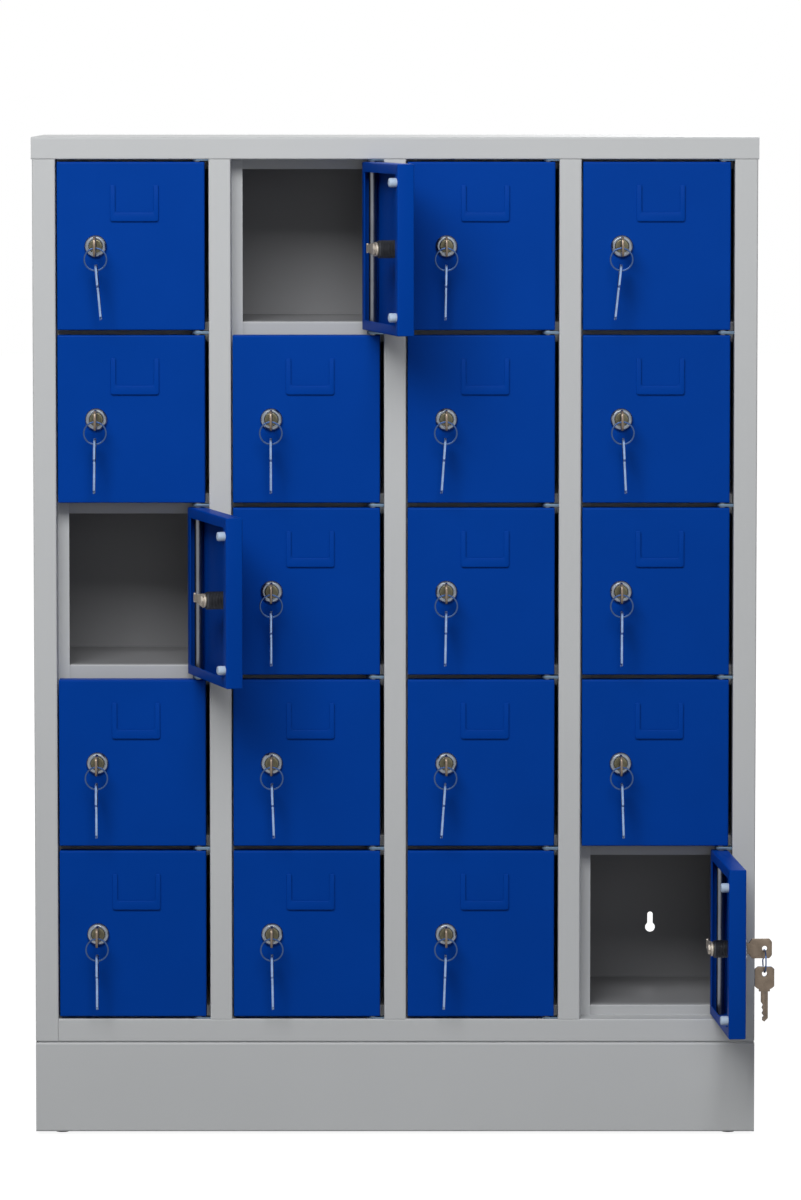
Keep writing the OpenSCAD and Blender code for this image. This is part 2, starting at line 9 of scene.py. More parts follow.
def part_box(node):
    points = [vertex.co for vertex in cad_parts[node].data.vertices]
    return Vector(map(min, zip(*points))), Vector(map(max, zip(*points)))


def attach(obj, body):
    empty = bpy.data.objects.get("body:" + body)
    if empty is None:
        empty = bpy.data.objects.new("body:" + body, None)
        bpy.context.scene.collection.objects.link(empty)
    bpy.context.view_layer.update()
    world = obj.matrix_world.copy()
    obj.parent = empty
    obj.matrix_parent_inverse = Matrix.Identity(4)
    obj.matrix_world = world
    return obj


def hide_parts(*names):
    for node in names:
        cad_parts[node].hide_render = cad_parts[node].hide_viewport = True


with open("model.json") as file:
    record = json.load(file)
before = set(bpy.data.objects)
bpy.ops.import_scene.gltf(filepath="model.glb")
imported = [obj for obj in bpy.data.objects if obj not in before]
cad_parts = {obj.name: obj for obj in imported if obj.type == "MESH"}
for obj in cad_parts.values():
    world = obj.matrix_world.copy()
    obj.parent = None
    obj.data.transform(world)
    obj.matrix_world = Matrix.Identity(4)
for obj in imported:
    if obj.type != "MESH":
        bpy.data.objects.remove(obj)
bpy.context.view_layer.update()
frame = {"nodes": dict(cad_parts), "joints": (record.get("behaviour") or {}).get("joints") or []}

scene = bpy.context.scene
mm = Matrix.Scale(0.001, 4)  # templates are drawn in millimetres and placed in metres

# ---- where things are: the joints give each door's pivot, its rest angle and its lock axis
doorPlace = {}
lockPoint = {}
for joint in frame["joints"]:
    kind, cell = joint["name"].split("_")
    if kind == "hinge":
        openAngle = -math.radians(joint["range_deg"][0])
        doorPlace[cell] = Matrix.Translation(joint["pos_m"]) @ Matrix.Rotation(openAngle, 4, "Z")
    else:
        lockPoint[cell] = Vector(joint["pos_m"])
cells = sorted(doorPlace)
firstPivot = doorPlace["r1c1"].translation * 1000
lockAxisX = (lockPoint["r1c1"].x - doorPlace["r1c1"].translation.x) * 1000
doorLow, doorHigh = (corner * 1000 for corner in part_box("door_r1c1"))
freeX = doorLow.x - firstPivot.x  # the lock edge of a door, measured from its pivot
hingeX = doorHigh.x - firstPivot.x
doorH = doorHigh.z - doorLow.z
print("read", len(cells), "doors, lock axis", round(lockAxisX, 2), "free edge", round(freeX, 2))


# ---- materials
def addNode(tree, kind, inputs=None, **settings):
    node = tree.nodes.new(kind)
    for key, value in settings.items():
        setattr(node, key, value)
    for key, value in (inputs or {}).items():
        if isinstance(value, bpy.types.NodeSocket):
            tree.links.new(value, node.inputs[key])
        else:
            node.inputs[key].default_value = value
    return node


def mathNode(tree, operation, first, second=0.0):
    return addNode(tree, "ShaderNodeMath", {0: first, 1: second}, operation=operation).outputs[0]


def startMaterial(name, settings, fromPiece=False):
    # a Principled shader, and the coordinates that its patterns follow
    material = bpy.data.materials.new(name)
    material.use_nodes = True
    tree = material.node_tree
    shader = tree.nodes["Principled BSDF"]
    for key, value in settings.items():
        shader.inputs[key].default_value = value
    material.diffuse_color = settings["Base Color"]
    if fromPiece:
        where = addNode(tree, "ShaderNodeAttribute", attribute_name="ownPlace").outputs["Vector"]
    else:
        where = addNode(tree, "ShaderNodeTexCoord").outputs["Object"]
    return material, tree, shader, where


def noiseAt(tree, where, scale, detail=2.0, stretch=None):
    if stretch:
        where = addNode(tree, "ShaderNodeMapping", {"Vector": where, "Scale": stretch}).outputs["Vector"]
    noise = addNode(tree, "ShaderNodeTexNoise", {"Vector": where, "Scale": scale, "Detail": detail})
    return noise.outputs["Fac"]


def rangeOf(tree, value, low, high, fromLow=0.3, fromHigh=0.7):
    return addNode(tree, "ShaderNodeMapRange", {
        "Value": value, "From Min": fromLow, "From Max": fromHigh, "To Min": low, "To Max": high,
    }).outputs["Result"]


def shadeOf(tree, factor, colour, dark, light):
    # the colour, a little darker and a little lighter by the factor
    ramp = addNode(tree, "ShaderNodeValToRGB", {"Fac": factor})
    for stop, share, place in zip(ramp.color_ramp.elements, (dark, light), (0.3, 0.7)):
        stop.position = place
        stop.color = [min(1.0, part * share) for part in colour[:3]] + [1.0]
    return ramp.outputs["Color"]


def roughnessOf(tree, shader, factor, look):
    middle, spread = look["roughness"], look["roughSpread"]
    tree.links.new(rangeOf(tree, factor, middle - spread, middle + spread), shader.inputs["Roughness"])


def bumpOf(tree, shader, layers):
    # a layer is its pattern, its strength from 0 to 1 and its height in metres
    normal = None
    for pattern, strength, height in layers:
        inputs = {"Height": pattern, "Strength": strength, "Distance": height}
        if normal:
            inputs["Normal"] = normal
        normal = addNode(tree, "ShaderNodeBump", inputs).outputs["Normal"]
    tree.links.new(normal, shader.inputs["Normal"])


def insideShadeShare(tree, where, inside):
    # 0 on the outside and the front frame, rising to 1 deep inside the compartments, where the paint takes on
    # a painted shade colour
    low, high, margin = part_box(inside["lowest"])[0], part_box(inside["highest"])[1], inside["margin"]
    axes = addNode(tree, "ShaderNodeSeparateXYZ", {0: where}).outputs
    start = low.y - inside["lead"]
    share = rangeOf(tree, axes["Y"], 0.0, 1.0, start, start + inside["fade"])
    for axis, least, most in (("X", low.x, high.x), ("Y", low.y, high.y), ("Z", low.z, high.z)):
        above = mathNode(tree, "GREATER_THAN", axes[axis], least - margin)
        below = mathNode(tree, "LESS_THAN", axes[axis], most + margin)
        share = mathNode(tree, "MULTIPLY", share, mathNode(tree, "MULTIPLY", above, below))
    return share


def powderCoat(name, colour, paint, inside=None):
    material, tree, shader, where = startMaterial(name, {
        "Base Color": colour, "Roughness": paint["roughness"], "Specular IOR Level": paint["specular"],
    })
    wide = noiseAt(tree, where, paint["wideScale"], 3)
    fine = noiseAt(tree, where, paint["peelScale"], 2)
    dents = noiseAt(tree, where, paint["waveScale"], 1)
    shaded = shadeOf(tree, wide, colour, 1 - paint["shade"], 1 + paint["shade"])
    # painted shade: deeper inside the compartments the paint darkens towards the inside colour
    if inside:
        share = insideShadeShare(tree, where, inside)
        paintedShadeMix = addNode(tree, "ShaderNodeMix", {0: share, 6: shaded, 7: inside["colour"]}, data_type="RGBA")
        shaded = paintedShadeMix.outputs[2]
    tree.links.new(shaded, shader.inputs["Base Color"])
    roughnessOf(tree, shader, wide, paint)
    bumpOf(tree, shader, [(dents, paint["wave"], 0.001), (fine, paint["peel"], 0.0001)])
    return material


def metalFinish(name, colour, metal, fromPiece=True):
    material, tree, shader, where = startMaterial(name, {
        "Base Color": colour, "Metallic": 1.0, "Roughness": metal["roughness"],
    }, fromPiece)
    cloudy = noiseAt(tree, where, metal["cloudScale"], 3)
    scratches = noiseAt(tree, where, metal["scratchScale"], 2, metal["stretch"])
    shaded = shadeOf(tree, cloudy, colour, metal["dark"], metal["light"])
    tree.links.new(shaded, shader.inputs["Base Color"])
    roughnessOf(tree, shader, scratches, metal)
    bumpOf(tree, shader, [(scratches, metal["scratch"], 0.00005)])
    return material


def dullFinish(name, colour, dull):
    material, tree, shader, where = startMaterial(name, {
        "Base Color": colour, "Roughness": dull["roughness"], "Specular IOR Level": dull["specular"],
    }, True)
    cloudy = noiseAt(tree, where, dull["cloudScale"], 3)
    fine = noiseAt(tree, where, dull["grainScale"], 2)
    shaded = shadeOf(tree, cloudy, colour, dull["dark"], dull["light"])
    tree.links.new(shaded, shader.inputs["Base Color"])
    roughnessOf(tree, shader, fine, dull)
    bumpOf(tree, shader, [(fine, dull["grain"], 0.0001)])
    return material


bodyPaintLook = {
    "roughness": 0.42, "roughSpread": 0.05, "specular": 0.22,
    "wideScale": 5.0, "shade": 0.015,   # soft changes of shade, per metre
    "peelScale": 700.0, "peel": 0.10,   # orange peel
    "waveScale": 9.0, "wave": 0.10,     # slow waves of the sheet, which break up its reflections
}
doorPaintLook = {
    "roughness": 0.42, "roughSpread": 0.05, "specular": 0.045,
    "wideScale": 12.0, "shade": 0.03,
    "peelScale": 700.0, "peel": 0.12,
    "waveScale": 14.0, "wave": 0.08,
}
# painted shade: inside the compartments the body paint fades to this darker colour
insideShadeLook = {
    "lowest": "floor_panel", "highest": "shelves",  # the nodes between which the inside lies
    "margin": 0.0005, "lead": 0.006, "fade": 0.022, "colour": (0.268, 0.269, 0.278, 1.0),
}
bodyGrey = (0.585, 0.595, 0.600, 1.0)
doorBlue = (0.0, 0.050, 0.345, 1.0)
bodyPaint = powderCoat("bodyPaint", bodyGrey, bodyPaintLook, insideShadeLook)
doorPaint = powderCoat("doorPaint", doorBlue, doorPaintLook)
zincPlate = metalFinish("zincPlate", (0.42, 0.45, 0.50, 1.0), {
    "roughness": 0.38, "roughSpread": 0.08, "cloudScale": 60.0, "dark": 0.88, "light": 1.08,
    "scratchScale": 900.0, "stretch": (1.0, 1.0, 0.08), "scratch": 0.2,
}, False)
# hinge tabs: zinc-plated steel, darkened and tinted blue as painted shade of the door gaps and painted
# reflection of the blue doors
tabSteelBlueShade = metalFinish("tabSteelBlueShade", (0.11, 0.16, 0.22, 1.0), {
    "roughness": 0.50, "roughSpread": 0.06, "cloudScale": 60.0, "dark": 0.85, "light": 1.10,
    "scratchScale": 900.0, "stretch": (0.2, 1.0, 1.0), "scratch": 0.2,
}, False)
lockNickel = metalFinish("lockNickel", (0.22, 0.24, 0.27, 1.0), {
    "roughness": 0.26, "roughSpread": 0.06, "cloudScale": 180.0, "dark": 0.80, "light": 1.10,
    "scratchScale": 1500.0, "stretch": (1.0, 0.2, 1.0), "scratch": 0.25,
})
plugBronze = metalFinish("plugBronze", (0.13, 0.12, 0.08, 1.0), {
    "roughness": 0.32, "roughSpread": 0.06, "cloudScale": 200.0, "dark": 0.75, "light": 1.15,
    "scratchScale": 1500.0, "stretch": (0.2, 1.0, 1.0), "scratch": 0.3,
})
# the lock barrel, thread and nut behind the door: zinc, made near black as painted shade of the door's shadow
barrelZincShade = metalFinish("barrelZincShade", (0.050, 0.052, 0.060, 1.0), {
    "roughness": 0.50, "roughSpread": 0.08, "cloudScale": 150.0, "dark": 0.80, "light": 1.15,
    "scratchScale": 900.0, "stretch": (1.0, 0.3, 1.0), "scratch": 0.25,
})
camZinc = metalFinish("camZinc", (0.42, 0.38, 0.33, 1.0), {
    "roughness": 0.56, "roughSpread": 0.08, "cloudScale": 150.0, "dark": 0.85, "light": 1.10,
    "scratchScale": 1200.0, "stretch": (0.1, 1.0, 1.0), "scratch": 0.25,
})
keyFace = metalFinish("keyFace", (0.165, 0.130, 0.100, 1.0), {
    "roughness": 0.34, "roughSpread": 0.08, "cloudScale": 140.0, "dark": 0.82, "light": 1.12,
    "scratchScale": 1300.0, "stretch": (1.0, 0.12, 1.0), "scratch": 0.3,
})
# the keys' cut edges: brighter metal than the faces, tinted blue as painted reflection of the blue doors
keyEdgeBlueReflection = metalFinish("keyEdgeBlueReflection", (0.23, 0.32, 0.50, 1.0), {
    "roughness": 0.30, "roughSpread": 0.08, "cloudScale": 140.0, "dark": 0.85, "light": 1.12,
    "scratchScale": 1500.0, "stretch": (1.0, 1.0, 0.2), "scratch": 0.3,
})
# split ring: steel, dark blue as painted reflection of the blue doors
ringSteelBlueShade = metalFinish("ringSteelBlueShade", (0.045, 0.080, 0.180, 1.0), {
    "roughness": 0.30, "roughSpread": 0.05, "cloudScale": 160.0, "dark": 0.85, "light": 1.08,
    "scratchScale": 1500.0, "stretch": (1.0, 1.0, 1.0), "scratch": 0.15,
})
# hinge rods: steel, darkened as painted reflection of the dark compartments around them
rodSteelShade = metalFinish("rodSteelShade", (0.16, 0.17, 0.19, 1.0), {
    "roughness": 0.36, "roughSpread": 0.06, "cloudScale": 50.0, "dark": 0.88, "light": 1.10,
    "scratchScale": 900.0, "stretch": (1.0, 1.0, 0.06), "scratch": 0.2,
}, False)
# white rubber bumpers, tinted blue as painted light bounced from the blue door around them
whiteRubberBlueLight = dullFinish("whiteRubberBlueLight", (0.47, 0.58, 0.74, 1.0), {
    "roughness": 0.55, "roughSpread": 0.08, "specular": 0.3, "cloudScale": 150.0, "dark": 0.92, "light": 1.06,
    "grainScale": 1500.0, "grain": 0.2,
})
blackPlastic = dullFinish("blackPlastic", (0.018, 0.018, 0.020, 1.0), {
    "roughness": 0.50, "roughSpread": 0.08, "specular": 0.3, "cloudScale": 180.0, "dark": 0.92, "light": 1.06,
    "grainScale": 1800.0, "grain": 0.35,
})
print("materials ready")


# ---- mesh helpers, all in millimetres
turnX = Matrix.Rotation(math.pi / 2, 4, "X")  # stands a flat piece upright


def shift(x=0.0, y=0.0, z=0.0):
    return Matrix.Translation((x, y, z))


def arcPoints(radius, angles):
    return [(radius * math.cos(math.radians(a)), radius * math.sin(math.radians(a))) for a in angles]


def newObject(name, mesh):
    made = bpy.data.objects.new(name, mesh)
    scene.collection.objects.link(made)
    return made


def meshFrom(bm, name):
    bmesh.ops.remove_doubles(bm, verts=bm.verts, dist=1e-5)
    bmesh.ops.recalc_face_normals(bm, faces=bm.faces)
    mesh = bpy.data.meshes.new(name)
    bm.to_mesh(mesh)
    bm.free()
    return mesh


def smoothMesh(mesh, sharpAngle=35):
    mesh.shade_smooth()
    mesh.set_sharp_from_angle(angle=math.radians(sharpAngle))
    return mesh


def ringLoop(bm, points):
    return [bm.verts.new(point) for point in points]


def joinLoops(bm, first, second):
    count = len(first)
    for i in range(count):
        j = (i + 1) % count
        bm.faces.new((first[i], first[j], second[j], second[i]))


def lathe(name, profile, segments=48):
    # a closed outline of (radius, height) turned round Z; radius 0 closes at a pole
    bm = bmesh.new()
    loops = []
    for radius, height in profile:
        if radius < 1e-6:
            loops.append([bm.verts.new((0, 0, height))])
        else:
            turn = [360 * i / segments for i in range(segments)]
            loops.append(ringLoop(bm, [(x, y, height) for x, y in arcPoints(radius, turn)]))
    for first, second in zip(loops, loops[1:] + loops[:1]):
        if len(first) == 1 and len(second) == 1:
            continue
        if len(first) == 1 or len(second) == 1:
            pole, loop = (first[0], second) if len(first) == 1 else (second[0], first)
            for i in range(segments):
                bm.faces.new((pole, loop[i], loop[(i + 1) % segments]))
        else:
            joinLoops(bm, first, second)
    return meshFrom(bm, name)


def chamferedHex(name, across, height, chamfer, hole=0.0, perSide=6, slope=0.58, most=0.4):
    # a nut or bolt head whose corners are cut by a cone at both ends; chamfer is the share of the
    # width left flat, and most is the largest share of the height that a cone may take
    bm = bmesh.new()
    count = 6 * perSide
    cut = across / 2 * chamfer
    low, lowEdge, highEdge, high, holeLow, holeHigh = [], [], [], [], [], []
    for i in range(count):
        angle = 2 * math.pi * i / count
        corner = (math.degrees(angle) % 60) - 30
        radius = across / 2 / math.cos(math.radians(corner))
        rise = min(max(0.0, radius - cut) * slope, height * most)
        c, s = math.cos(angle), math.sin(angle)
        low.append((cut * c, cut * s, 0))
        lowEdge.append((radius * c, radius * s, rise))
        highEdge.append((radius * c, radius * s, height - rise))
        high.append((cut * c, cut * s, height))
        holeLow.append((hole / 2 * c, hole / 2 * s, 0))
        holeHigh.append((hole / 2 * c, hole / 2 * s, height))
    loops = [ringLoop(bm, points) for points in (low, lowEdge, highEdge, high)]
    for first, second in zip(loops, loops[1:]):
        joinLoops(bm, first, second)
    if hole:
        inner = [ringLoop(bm, points) for points in (holeHigh, holeLow)]
        joinLoops(bm, loops[-1], inner[0])
        joinLoops(bm, inner[0], inner[1])
        joinLoops(bm, inner[1], loops[0])
    else:
        bm.faces.new(loops[0])
        bm.faces.new(loops[-1])
    return meshFrom(bm, name)


def roundedOutline(points, steps=5):
    # points are (x, y, radius); each corner becomes an arc
    outline = []
    count = len(points)
    for i, (x, y, radius) in enumerate(points):
        if radius <= 0:
            outline.append((x, y))
            continue
        here = Vector((x, y))
        toLast = (Vector(points[i - 1][:2]) - here).normalized()
        toNext = (Vector(points[(i + 1) % count][:2]) - here).normalized()
        half = toLast.angle(toNext) / 2
        middle = here + (toLast + toNext).normalized() * radius / math.sin(half)
        start = here + toLast * radius / math.tan(half) - middle
        end = here + toNext * radius / math.tan(half) - middle
        turn = math.atan2(start.x * end.y - start.y * end.x, start.dot(end))
        for k in range(steps + 1):
            part = start.copy()
            part.rotate(Matrix.Rotation(turn * k / steps, 2))
            outline.append(tuple(middle + part))
    return outline


def plate(name, outline, low, high):
    bm = bmesh.new()
    bottom = ringLoop(bm, [(x, y, low) for x, y in outline])
    top = ringLoop(bm, [(x, y, high) for x, y in outline])
    joinLoops(bm, bottom, top)
    bm.faces.new(bottom)
    bm.faces.new(top)
    return meshFrom(bm, name)


def block(name, low, high):
    x0, y0, z0 = low
    x1, y1, z1 = high
    return plate(name, [(x0, y0), (x1, y0), (x1, y1), (x0, y1)], z0, z1)


def disc(name, radius, low, high, segments=32):
    return plate(name, arcPoints(radius, [360 * i / segments for i in range(segments)]), low, high)


def moved(mesh, matrix):
    mesh.transform(matrix)
    return mesh


def joined(name, meshes):
    bm = bmesh.new()
    for mesh in meshes:
        bm.from_mesh(mesh)
        bpy.data.meshes.remove(mesh)
    mesh = bpy.data.meshes.new(name)
    bm.to_mesh(mesh)
    bm.free()
    return mesh


def evaluated(made):
    depsgraph = bpy.context.evaluated_depsgraph_get()
    mesh = bpy.data.meshes.new_from_object(made.evaluated_get(depsgraph))
    used = made.data
    bpy.data.objects.remove(made)
    bpy.data.meshes.remove(used)
    return mesh


def cutAway(mesh, cutter):
    made, tool = newObject("blank", mesh), newObject("cutter", cutter)
    change = made.modifiers.new("cut", "BOOLEAN")
    change.operation, change.solver, change.object = "DIFFERENCE", "EXACT", tool
    result = evaluated(made)
    bpy.data.objects.remove(tool)
    bpy.data.meshes.remove(cutter)
    return result


def bevelled(mesh, width, segments=2, angle=40):
    made = newObject("blank", mesh)
    change = made.modifiers.new("edges", "BEVEL")
    change.width, change.segments, change.limit_method = width, segments, "ANGLE"
    change.angle_limit = math.radians(angle)
    change.use_clamp_overlap = True
    return evaluated(made)


def painted(mesh, *materials):
    # one material for the whole mesh, or the ones that its faces already number
    for material in materials:
        mesh.materials.append(material)
    return mesh


def numbered(mesh, index):
    for face in mesh.polygons:
        face.material_index = index
    return mesh


def numberedBehind(mesh, height, front, behind):
    # one number for the faces above a height, another for the ones below it
    for face in mesh.polygons:
        face.material_index = front if face.center.z > height else behind
    return mesh


def ownPlaces(mesh):
    # every vertex keeps its place in the template, so scratches and grain follow the piece
    values = [part * 0.001 for vertex in mesh.vertices for part in vertex.co]
    mesh.attributes.new("ownPlace", "FLOAT_VECTOR", "POINT").data.foreach_set("vector", values)
    return mesh


def finishTemplate(mesh, *materials):
    return ownPlaces(smoothMesh(painted(mesh, *materials)))


def placed(name, template, matrix, body, slotName, *nodes):
    mesh = template.copy()
    mesh.name = name
    mesh.transform(matrix)
    piece = newObject(name, mesh)
    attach(piece, body)
    if nodes:
        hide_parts(*nodes)


# ---- Geometry Nodes helpers
def startTree(name, numbers, objects=()):
    tree = bpy.data.node_groups.new(name, "GeometryNodeTree")
    tree.is_modifier = True
    sockets = {}
    for label, value in numbers.items():
        kind = "NodeSocketInt" if isinstance(value, int) else "NodeSocketFloat"
        socket = tree.interface.new_socket(label, in_out="INPUT", socket_type=kind)
        socket.default_value = value
        sockets[label] = socket.identifier
    for label, kind in [(label, "Object") for label in objects] + [("Material", "Material")]:
        socket = tree.interface.new_socket(label, in_out="INPUT", socket_type="NodeSocket" + kind)
        sockets[label] = socket.identifier
    tree.interface.new_socket("Geometry", in_out="OUTPUT", socket_type="NodeSocketGeometry")
    given = addNode(tree, "NodeGroupInput").outputs
    return tree, given, sockets


def endTree(tree, given, geometry):
    solid = addNode(tree, "GeometryNodeRealizeInstances", {"Geometry": geometry})
    coloured = addNode(tree, "GeometryNodeSetMaterial", {"Geometry": solid.outputs[0],
                                                         "Material": given["Material"]})
    addNode(tree, "NodeGroupOutput", {"Geometry": coloured.outputs[0]})


def grown(name, tree, sockets, values, material):
    # runs the tree once and keeps its result as a plain mesh
    made = newObject(name, bpy.data.meshes.new(name))
    change = made.modifiers.new("shape", "NODES")
    change.node_group = tree
    for label, value in values.items():
        change[sockets[label]] = value
    change[sockets["Material"]] = material
    return evaluated(made)


def combined(tree, x=0.0, y=0.0, z=0.0):
    return addNode(tree, "ShaderNodeCombineXYZ", {"X": x, "Y": y, "Z": z}).outputs[0]


# ---- doors: the folded pan with its card holder
panSize = {
    "depth": 17.0, "pivotBack": 7.5, "sheet": 1.0, "foldRadius": 1.5, "cornerRadius": 0.9,
    "leastRadius": 0.08, "lip": 10.0, "rodHole": 8.15, "lockHole": 18.1, "foldSteps": 6, "cornerSteps": 4,
    "seam": 0.35, "seamDepth": 1.2, "seamLength": 25.0,
    "edge": 0.15,   # the cut edge of the lip
    "margin": 1.0,  # flat sheet kept beside a fold
}
cardSize = {
    "width": 48.0, "height": 36.0, "fromLockEdge": 53.0, "fromTop": 23.0, "proud": 2.0, "lipSheet": 0.8,
    "side": 5.0, "bottom": 9.0, "rim": 2.5, "outerRound": 2.5, "innerRound": 2.0, "endOuterRound": 1.2,
    "endInnerRound": 0.8, "edge": 0.5, "gap": 0.05,
}


def panProfile(size):
    depth, sheet, fold, lip = size["depth"], size["sheet"], size["foldRadius"], size["lip"]
    inner, steps = fold - sheet, size["foldSteps"]
    edge, margin = size["edge"], size["margin"]
    turns = [math.radians(90 * i / steps) for i in range(steps + 1)]
    points = [(fold + margin, 0.0)]
    points += [(fold - fold * math.sin(a), fold - fold * math.cos(a)) for a in turns]
    points += [(fold - fold * math.cos(a), depth - fold + fold * math.sin(a)) for a in turns]
    points += [(lip - margin, depth), (lip - edge, depth), (lip, depth - edge),
               (lip, depth - sheet + edge), (lip - edge, depth - sheet), (lip - margin, depth - sheet)]
    points += [(fold - inner * math.sin(a), depth - fold + inner * math.cos(a)) for a in turns]
    points += [(fold - inner * math.cos(a), fold - inner * math.sin(a)) for a in turns]
    points += [(fold + margin, sheet)]
    return points


def panMesh(size):
    bm = bmesh.new()
    front = -size["pivotBack"]
    half = doorH / 2
    loops = []
    for inset, depth in panProfile(size):
        radius = max(size["cornerRadius"] - inset, size["leastRadius"])
        x0, x1, z0, z1 = freeX + inset, hingeX - inset, -half + inset, half - inset
        points = []
        for cx, cz, start in ((x1 - radius, z1 - radius, 0), (x0 + radius, z1 - radius, 90),
                              (x0 + radius, z0 + radius, 180), (x1 - radius, z0 + radius, 270)):
            for k in range(size["cornerSteps"] + 1):
                angle = math.radians(start + 90 * k / size["cornerSteps"])
                points.append((cx + radius * math.cos(angle), front + depth, cz + radius * math.sin(angle)))
        loops.append(ringLoop(bm, points))
    for first, second in zip(loops, loops[1:]):
        joinLoops(bm, first, second)
    bm.faces.new(loops[0])
    bm.faces.new(loops[-1])
    mesh = meshFrom(bm, "pan")
    # holes for the rod and the lock, and the mitre seams of the lips; each cutter overshoots the sheet
    tools = [moved(disc("rodHole", size["rodHole"] / 2, -4, 4), shift(z=s * half)) for s in (-1, 1)]
    lockHole = disc("lockHole", size["lockHole"] / 2, -2, 2, 48)
    tools.append(moved(lockHole, shift(lockAxisX, front + size["sheet"] / 2) @ turnX))
    back, wide, start = front + size["depth"], size["seam"] / 2, size["foldRadius"] * 1.3
    for cx, sx in ((freeX, 1), (hingeX, -1)):
        for sz in (-1, 1):
            slit = block("seam", (-wide, -size["seamDepth"], start), (wide, 1, size["seamLength"]))
            turn = Matrix.Rotation(math.atan2(sx, -sz), 4, "Y")
            tools.append(moved(slit, shift(cx, back, sz * half) @ turn))
    return cutAway(mesh, joined("panTools", tools))


def cardMesh(size, pan):
    w, h, side, bottom = size["width"], size["height"], size["side"], size["bottom"]
    outer, inner, rim = size["outerRound"], size["innerRound"], size["rim"]
    endOuter, endInner = size["endOuterRound"], size["endInnerRound"]
    outline = roundedOutline([
        (0, 0, outer), (w, 0, outer), (w, h, endOuter), (w - side, h, endInner), (w - side, bottom, inner),
        (side, bottom, inner), (side, h, endInner), (0, h, endOuter),
    ])
    mesh = bevelled(plate("card", outline, 0, size["proud"]), size["edge"], 3, 60)
    pocket = block("pocket", (rim, rim, -1), (w - rim, h + 1, size["proud"] - size["lipSheet"]))
    mesh = cutAway(mesh, pocket)
    x, z = freeX + size["fromLockEdge"], doorH / 2 - size["fromTop"] - h
    return moved(mesh, shift(x, -pan["pivotBack"] - size["gap"], z) @ turnX)


panTemplate = joined("panTemplate", [panMesh(panSize), cardMesh(cardSize, panSize)])
panTemplate = finishTemplate(panTemplate, doorPaint)
print("door pan", len(panTemplate.polygons), "faces")


# ---- bumpers on the lock-side lip
bumperSize = {
    "diameter": 9.0, "height": 7.65, "dome": 1.6, "flat": 0.3, "inset": 18.0, "fromEdge": 5.0, "gap": 0.05,
    "heel": [(0.2, 0.0), (0.0, 0.3)],                # distance from the side, and height
    "dimple": [(0.9, 0.0), (0.5, 0.5), (0.0, 0.6)],  # radius, and depth below the top
}


def bumperMeshes(size, pan):
    r, h, dome = size["diameter"] / 2, size["height"], size["dome"]
    profile = [(0, 0)] + [(r - inset, up) for inset, up in size["heel"]] + [(r, h - dome)]
    profile += [(r - dome + dome * math.cos(math.radians(a)), h - dome + dome * math.sin(math.radians(a)))
                for a in (20, 40, 60, 80)]
    profile += [(r - dome - size["flat"], h)] + [(radius, h - deep) for radius, deep in size["dimple"]]
    x, z = freeX + size["fromEdge"], doorH / 2 - size["inset"]
    back = pan["depth"] - pan["pivotBack"] + size["gap"]
    return [moved(lathe("bumper", profile, 32), shift(x, back, s * z) @ turnX.inverted()) for s in (-1, 1)]


bumperTemplate = finishTemplate(joined("bumperTemplate", bumperMeshes(bumperSize, panSize)), whiteRubberBlueLight)


# ---- locks; Z of a lock's own space points out of the door, from its front face
lockSpace = shift(lockAxisX, -panSize["pivotBack"]) @ turnX
lockSize = {
    "headDiameter": 22.0, "headHeight": 5.0, "headEdge": 0.3, "rimChamfer": 2.0, "rimSoft": 0.25,
    "rimDrop": 0.08, "barrelDiameter": 18.0, "barrelEnd": -27.5, "barrelEdge": 0.6, "seatGap": 0.05,
    "bore": 13.1, "boreEdge": [(0.5, 0.0), (0.15, 0.1), (0.0, 0.4)],  # distance from it, depth in the face
    "threadDepth": 0.7, "threadPitch": 1.5, "threadFromEnd": 0.9, "threadFromNeck": 0.35,
    "nutAcross": 24.0, "nutHeight": 4.0, "nutFrom": -5.05, "nutChamfer": 0.97, "neckEnd": -0.95,
    "plugDiameter": 13.0, "plugEdge": [(0.0, 0.5), (0.15, 0.1), (0.4, 0.0), (1.2, 0.0)], "tailDiameter": 8.0,
    "camFace": -28.0, "camBack": -30.05, "camThickness": 2.0, "camWidth": 14.0, "camLength": 36.5,
    "camCorner": 3.5, "camRound": 1.5, "camEdge": 0.3,
    "screwAcross": 9.5, "screwHeight": 3.0, "screwChamfer": 0.94, "washerHeight": 0.8, "washerEdge": 0.1,
    "keywayWidth": 2.5, "keywayHeight": 7.3, "keywayDepth": 29.65, "keywayRound": 0.3,
}


def threadTree():
    tree, given, sockets = startTree("helicalThread", {
        "Radius": 9.0, "Depth": 0.7, "Pitch": 1.5, "Length": 20.0, "Steps": 20})
    turns = mathNode(tree, "DIVIDE", given["Length"], given["Pitch"])
    core = mathNode(tree, "SUBTRACT", given["Radius"], given["Depth"])
    line = addNode(tree, "GeometryNodeCurveSpiral", {
        "Resolution": given["Steps"], "Rotations": turns, "Start Radius": core,
        "End Radius": core, "Height": given["Length"]})
    upright = addNode(tree, "GeometryNodeSetCurveNormal", {"Curve": line.outputs[0]}, mode="Z_UP")
    # a four-sided ridge whose point stands out by the depth
    ridge = addNode(tree, "GeometryNodeCurvePrimitiveCircle", {
        "Resolution": 4, "Radius": given["Depth"]}, mode="RADIUS")
    solid = addNode(tree, "GeometryNodeCurveToMesh", {
        "Curve": upright.outputs[0], "Profile Curve": ridge.outputs[0], "Fill Caps": True})
    endTree(tree, given, solid.outputs[0])
    return tree, sockets


threads, threadSockets = threadTree()


def threadMesh(radius, depth, pitch, low, high, steps=20):
    mesh = grown("thread", threads, threadSockets, {
        "Radius": radius, "Depth": depth, "Pitch": pitch, "Length": high - low, "Steps": steps}, barrelZincShade)
    return moved(mesh, shift(z=low))


